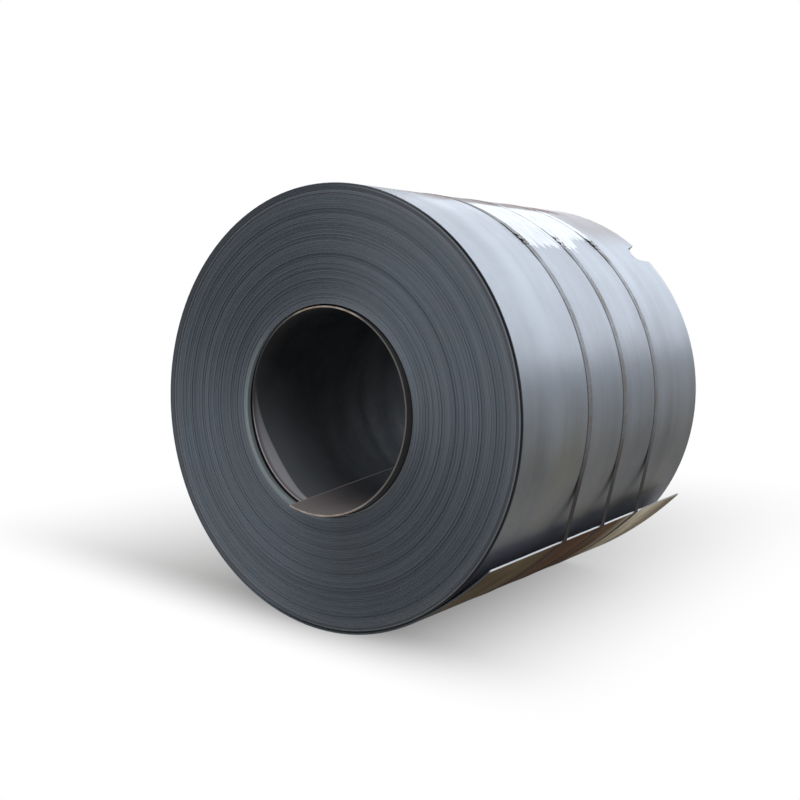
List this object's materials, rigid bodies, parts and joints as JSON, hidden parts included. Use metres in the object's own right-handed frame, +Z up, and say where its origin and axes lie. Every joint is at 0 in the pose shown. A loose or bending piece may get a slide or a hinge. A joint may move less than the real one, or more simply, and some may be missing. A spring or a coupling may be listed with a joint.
{
  "type": "steel coil",
  "caption": "Coil of hot-rolled steel strip lying on its side, with an open bore, a sprung tail and crimped steel straps around its girth.",
  "frame": {"origin": "on the coil's axis, half way along the strip's width", "axes": "+Y along the coil's axis from the front end to the rear end, +Z up as the coil lies"},
  "size_m": [1.6208, 1.553, 1.6249],
  "materials": {
    "strip": "hot-rolled steel under blue-grey mill scale, darker on the ends",
    "strapping": "plain steel strapping, browned by light rust",
    "seal": "crimped sheet steel, dark with rust and handling"
  },
  "bodies": {
    "root": {"coil": "strip", "strap_front": "strapping", "strap_middle": "strapping", "strap_rear": "strapping", "seal_front": "seal", "seal_middle": "seal", "seal_rear": "seal"}
  },
  "joints": []
}
